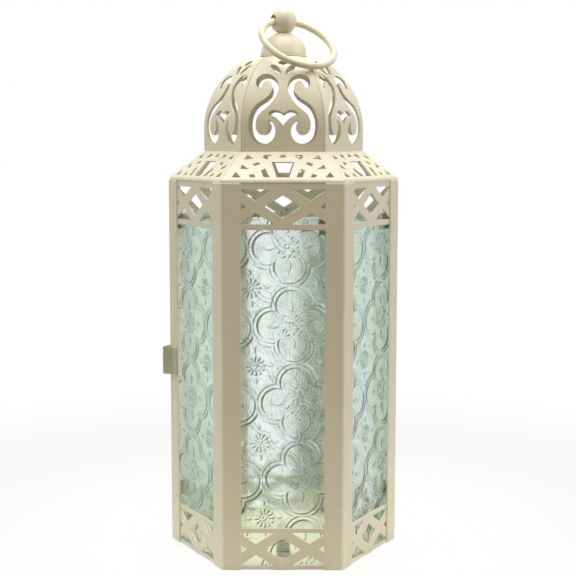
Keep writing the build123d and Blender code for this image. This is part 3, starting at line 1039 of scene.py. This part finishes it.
@dataclass
class Panes:
    """Six panes of pressed glass, five in the cage and one in the door."""

    columns: int = 150
    rows: int = 510
    skin: float = 0.02
    steepest: float = 0.50
    # Weights of the painted shade on steep flanks and on flanks facing right or down, and of the painted
    # highlight on crests and on flanks facing left or up.
    painted_shade_by_slope: float = 0.15
    painted_shade_by_lean: float = 1.45
    painted_highlight_by_height: float = 0.7
    painted_highlight_by_lean: float = 1.4
    rim: float = 0.9999
    smooth_angle: float = 70.0
    pattern: PressedPattern = field(default_factory=PressedPattern)
    cuts: Tuple[PaneCut, ...] = (
        PaneCut(Side.FRONT, (4.02, 110.6), 3.2),
        PaneCut(Side.FRONT_RIGHT, (13.3, 109.5), 2.2, -0.9),
        PaneCut(Side.BACK_RIGHT, (-6.0, 98.0), -2.0),
        PaneCut(Side.BACK, (-2.5, 118.0), 1.5),
        PaneCut(Side.BACK_LEFT, (1.0, 104.0), 0.8),
        PaneCut(Side.FRONT_LEFT, (-9.0, 107.2), 3.0, 0.55),
    )

    def build(self, dresser: Dresser) -> None:
        """Build all the panes.

        Args:
            dresser: finishes the pieces.
        """
        for cut in self.cuts:
            self.pane(dresser, cut)

    def pane(self, dresser: Dresser, cut: PaneCut) -> None:
        """Build one pane: a fine grid lifted to the pattern, with a flat back.

        Args:
            dresser: finishes the piece.
            cut: the pane's side and its place in the pattern.
        """
        box = PaneBox.of(dresser.nodes[cut.node], cut.side)
        bpy.ops.object.select_all(action="DESELECT")
        bpy.ops.mesh.primitive_grid_add(x_subdivisions=self.columns, y_subdivisions=self.rows, size=2.0)
        piece = bpy.context.active_object
        piece.name = f"{cut.node}_pressed"
        self.press(piece.data, cut, box)
        self.close_back(piece, box.inner)
        piece.rotation_euler = (0.0, 0.0, cut.side.turn)
        Bench.settle(piece)
        Bench.take(piece)
        bpy.ops.object.shade_smooth_by_angle(angle=math.radians(self.smooth_angle))
        dresser.dress(piece, Slot.GLASS, Body.DOOR if cut.side.is_door else Body.CAGE, cut.node)

    def press(self, mesh: bpy.types.Mesh, cut: PaneCut, box: PaneBox) -> None:
        """Lift a grid to the pattern, and mark the painted highlights on its crests and the painted shade on
        its flanks.

        Args:
            mesh: the grid, from -1 to 1 both ways.
            cut: the pane's place in the pattern.
            box: the pane's sizes.
        """
        grid = np.zeros(len(mesh.vertices) * 3)
        mesh.vertices.foreach_get("co", grid)
        across, up = grid.reshape(-1, 3)[:, :2].T
        along = across * box.half_width
        level = box.bottom + (up + 1.0) / 2 * (box.top - box.bottom)
        x, y = cut.on_sheet(along, level)
        height = self.pattern.height(x, y, self.pattern.bead_height)
        slope, painted_light_lean = self.pattern.tilt(x, y)
        # Painted shade and painted highlight, by steepness and by which way each flank faces a light from the
        # upper left.
        painted_shade_raw = self.painted_shade_by_slope * slope + self.painted_shade_by_lean * np.maximum(painted_light_lean * cut.painted_light_lean, 0.0)
        painted_highlight_raw = self.painted_highlight_by_lean * np.maximum(-painted_light_lean * cut.painted_light_lean, 0.0)
        painted_shade = np.clip(painted_shade_raw / self.steepest, 0.0, 1.0)
        bright = np.clip(self.painted_highlight_by_height * height / self.pattern.depth + painted_highlight_raw / self.steepest, 0.0, 1.0)
        rim = np.maximum(np.abs(across), np.abs(up)) > self.rim
        height[rim] = painted_shade[rim] = bright[rim] = 0.0
        for name, values in ((HIGHLIGHT_ATTRIBUTE, bright), (SHADE_ATTRIBUTE, painted_shade)):
            mesh.attributes.new(name, "FLOAT", "POINT").data.foreach_set("value", values.astype(np.float32))
        out = box.outer - self.skin - self.pattern.depth + height
        pressed = np.column_stack((along, -out, level)) * MM
        mesh.vertices.foreach_set("co", pressed.astype(np.float32).ravel())
        mesh.update()

    @staticmethod
    def close_back(piece: bpy.types.Object, inner: float) -> None:
        """Draw the rim of a relief back to a flat inner face.

        Args:
            piece: the relief, facing -Y.
            inner: distance of the inner face from the axis, in millimetres.
        """
        Bench.edit(piece, "EDGE")
        bpy.ops.mesh.select_all(action="DESELECT")
        bpy.ops.mesh.select_non_manifold(extend=False, use_boundary=True)
        bpy.ops.mesh.extrude_region_move(TRANSFORM_OT_translate={"value": (0.0, MM, 0.0)})
        bpy.ops.transform.resize(value=(1.0, 0.0, 1.0), center_override=(0.0, -inner * MM, 0.0))
        bpy.ops.mesh.edge_face_add()
        bpy.ops.mesh.select_all(action="SELECT")
        bpy.ops.mesh.normals_make_consistent(inside=False)
        Bench.leave()


@dataclass
class Lamp:
    """A soft round lamp aimed at a point, with its spread in degrees."""

    name: str
    place: Place
    size: float
    power: float
    colour: Place = (1.0, 1.0, 1.0)
    aim: Place = (0.0, 0.0, 0.12)
    spread: float = 180.0

    def build(self) -> None:
        """Hang the lamp and turn it to its point."""
        data = bpy.data.lights.new(self.name, "AREA")
        data.shape = "DISK"
        data.size = self.size
        data.energy = self.power
        data.color = self.colour
        data.spread = math.radians(self.spread)
        lamp = bpy.data.objects.new(self.name, data)
        lamp.location = self.place
        lamp.rotation_euler = (Vector(self.aim) - Vector(self.place)).to_track_quat("-Z", "Y").to_euler()
        bpy.context.scene.collection.objects.link(lamp)


@dataclass
class Studio:
    """Pale floor, white surroundings, soft lamps and the camera, which is turned in degrees."""

    floor_size: float = 8.0
    floor_drop: float = 0.0001
    floor_near: Colour = (0.86, 0.82, 0.74, 1.0)
    floor_far: Colour = (0.18, 0.14, 0.09, 1.0)
    floor_fade: Tuple[float, float] = (0.09, 0.16)
    # Painted contact shadow under the lantern's foot.
    painted_shadow_under: Colour = (0.03, 0.035, 0.025, 1.0)
    floor_white: float = 0.90
    shadow_reach: float = 0.18
    foot: float = 0.046
    sky: Colour = (0.055, 0.046, 0.032, 1.0)
    sky_behind: Colour = (0.55, 0.55, 0.55, 1.0)
    sky_gain: float = 1.5
    white: Colour = (1.0, 1.0, 1.0, 1.0)
    room: Colour = (0.97, 1.00, 0.97, 1.0)
    room_left: Colour = (0.57, 0.73, 0.56, 1.0)
    sweep: Tuple[float, float] = (0.045, 0.06)
    sweep_middle: float = -0.028
    olive: Colour = (0.08, 0.11, 0.04, 1.0)
    olive_band: Tuple[float, float] = (0.006, 0.040)
    green: Colour = (0.30, 0.56, 0.38, 1.0)
    green_band: Tuple[float, float] = (0.074, 0.094)
    band_fade: float = 0.006
    nearest: float = 0.02
    eye: float = 0.6
    lens: float = 79.467
    sensor: float = 36.0
    clip_start: float = 0.01
    camera_place: Place = (0.003437, -0.596898, 0.192272)
    camera_turn: Place = (83.2525, -0.048186, 0.129351)
    lamps: List[Lamp] = field(default_factory=lambda: [
        Lamp("top_box", (0.0, -0.02, 1.3), 1.1, 12.4, (0.98, 1.0, 1.01)),
        Lamp("back_box", (0.0, 1.2, 1.2), 0.9, 4.0),
        Lamp("left_box", (-1.2, -0.1, 0.55), 0.9, 5.6, (0.97, 0.99, 1.03)),
        Lamp("right_box", (1.2, -0.1, 0.55), 0.9, 6.5, (0.97, 0.99, 1.03)),
        Lamp("inner_fill", (0.0, 0.0, 0.160), 0.07, 0.025, (0.90, 1.0, 0.90), (0.0, 0.0, 0.0), 80.0),
        Lamp("front_box", (0.0, -1.0, 1.0), 0.9, 0.7, (1.0, 0.62, 0.16)),
        Lamp("brow_box", (0.0, -0.30, 0.56), 0.30, 0.54, (1.0, 0.95, 0.86), (0.0, 0.0, 0.22)),
    ])

    def build(self) -> None:
        """Build the surroundings."""
        self.camera()
        self.world()
        self.floor()
        for lamp in self.lamps:
            lamp.build()
        bpy.context.scene.view_settings.view_transform = "Standard"

    def camera(self) -> None:
        """Put the camera where the photograph was taken from."""
        data = bpy.data.cameras.new("camera")
        data.sensor_width = self.sensor
        data.lens = self.lens
        data.clip_start = self.clip_start
        camera = bpy.data.objects.new("camera", data)
        camera.location = self.camera_place
        camera.rotation_euler = [math.radians(angle) for angle in self.camera_turn]
        bpy.context.scene.collection.objects.link(camera)
        bpy.context.scene.camera = camera

    @staticmethod
    def rays(tree: ShaderTree) -> Tuple[Signal, Signal]:
        """Tell the kinds of ray apart.

        Args:
            tree: the shader's tree.

        Returns:
            Ones for what the eye sees, and ones for what gloss and glass show.
        """
        kinds = ("Camera", "Glossy", "Transmission")
        eye, gloss, through = (tree.node("ShaderNodeLightPath", output=f"Is {kind} Ray") for kind in kinds)
        return eye, (gloss + through).clamped()

    def backdrop(self, tree: ShaderTree, sideways: Signal, depth: Signal) -> Signal:
        """Paint the white sweep behind the lantern and the duller room beside it.

        Args:
            tree: the shader's tree.
            sideways: distance to the right.
            depth: distance away, of the same unit.

        Returns:
            The colour that gloss and glass show.
        """
        slope = sideways / depth.at_least(self.nearest)
        room = tree.blend(self.room_left, self.room, slope > 0.0)
        colour = tree.blend(self.white, room, abs(slope - self.sweep_middle).faded(*self.sweep))
        bands = ((slope, self.olive_band, self.olive), (abs(slope), self.green_band, self.green))
        for across, (low, high), shade in bands:
            inside = across.faded(low, self.band_fade) * (high - across).faded(0.0, self.band_fade)
            colour = tree.blend(colour, shade, inside)
        return colour

    def world(self) -> None:
        """Make surroundings that are white to the eye and light the object at a plain level."""
        world = bpy.data.worlds.new("surroundings")
        world.use_nodes = True
        tree = ShaderTree(world.node_tree)
        eye, shown = self.rays(tree)
        x, y = tree.plan(tree.node("ShaderNodeTexCoord", output="Generated"))
        ambient = tree.blend(self.sky, self.sky_behind, (y * self.sky_gain).clamped())
        colour = tree.blend(ambient, self.backdrop(tree, x, y), shown)
        colour = tree.blend(colour, self.white, eye)
        shader = tree.node("ShaderNodeBackground", None, {"Color": colour})
        tree.node("ShaderNodeOutputWorld", None, {"Surface": shader})
        bpy.context.scene.world = world

    def floor(self) -> None:
        """Lay a plain pale floor that keeps a soft shadow, with a painted dark shadow under the lantern's
        foot.
        """
        bpy.ops.object.select_all(action="DESELECT")
        bpy.ops.mesh.primitive_plane_add(size=self.floor_size, location=(0.0, 0.0, -self.floor_drop))
        floor = bpy.context.active_object
        floor.name = "floor"
        tree, material = ShaderTree.of_material("pale_floor")
        eye, shown = self.rays(tree)
        place = tree.node("ShaderNodeTexCoord", output="Object")
        x, y = tree.plan(place)
        reach = tree.node("ShaderNodeVectorMath", {"operation": "LENGTH"}, {0: place}, "Value")
        outside = reach > self.foot
        far = reach.faded(self.shadow_reach, self.shadow_reach)
        share = (self.floor_white + far * (1.0 - self.floor_white)) * outside
        bounce = tree.blend(self.floor_near, self.floor_far, reach.faded(*self.floor_fade))
        # Painted shadow: under the lantern's foot the floor is near black, a painted contact shadow seen
        # through the base pan's holes.
        bounce = tree.blend(self.painted_shadow_under, bounce, outside)
        matt = tree.node("ShaderNodeBsdfDiffuse", None, {"Color": bounce})
        colour = tree.blend(self.backdrop(tree, x, y + self.eye), self.white, eye)
        glow = tree.node("ShaderNodeEmission", None, {"Color": colour, "Strength": 1.0})
        mixed = tree.node("ShaderNodeMixShader", None, {0: (eye + shown).clamped() * share, 1: matt, 2: glow})
        tree.node("ShaderNodeOutputMaterial", None, {"Surface": mixed})
        floor.data.materials.append(material)


def main() -> None:
    """Load the frame and build every part of the lantern round it."""
    logging.basicConfig(level=logging.INFO, format="%(name)s %(message)s")
    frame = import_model()
    Studio().build()
    dresser = Dresser(frame)
    for part in (Cage(), Crown(), Finial(), Door(), Panes()):
        part.build(dresser)


if __name__ == "__main__":
    main()
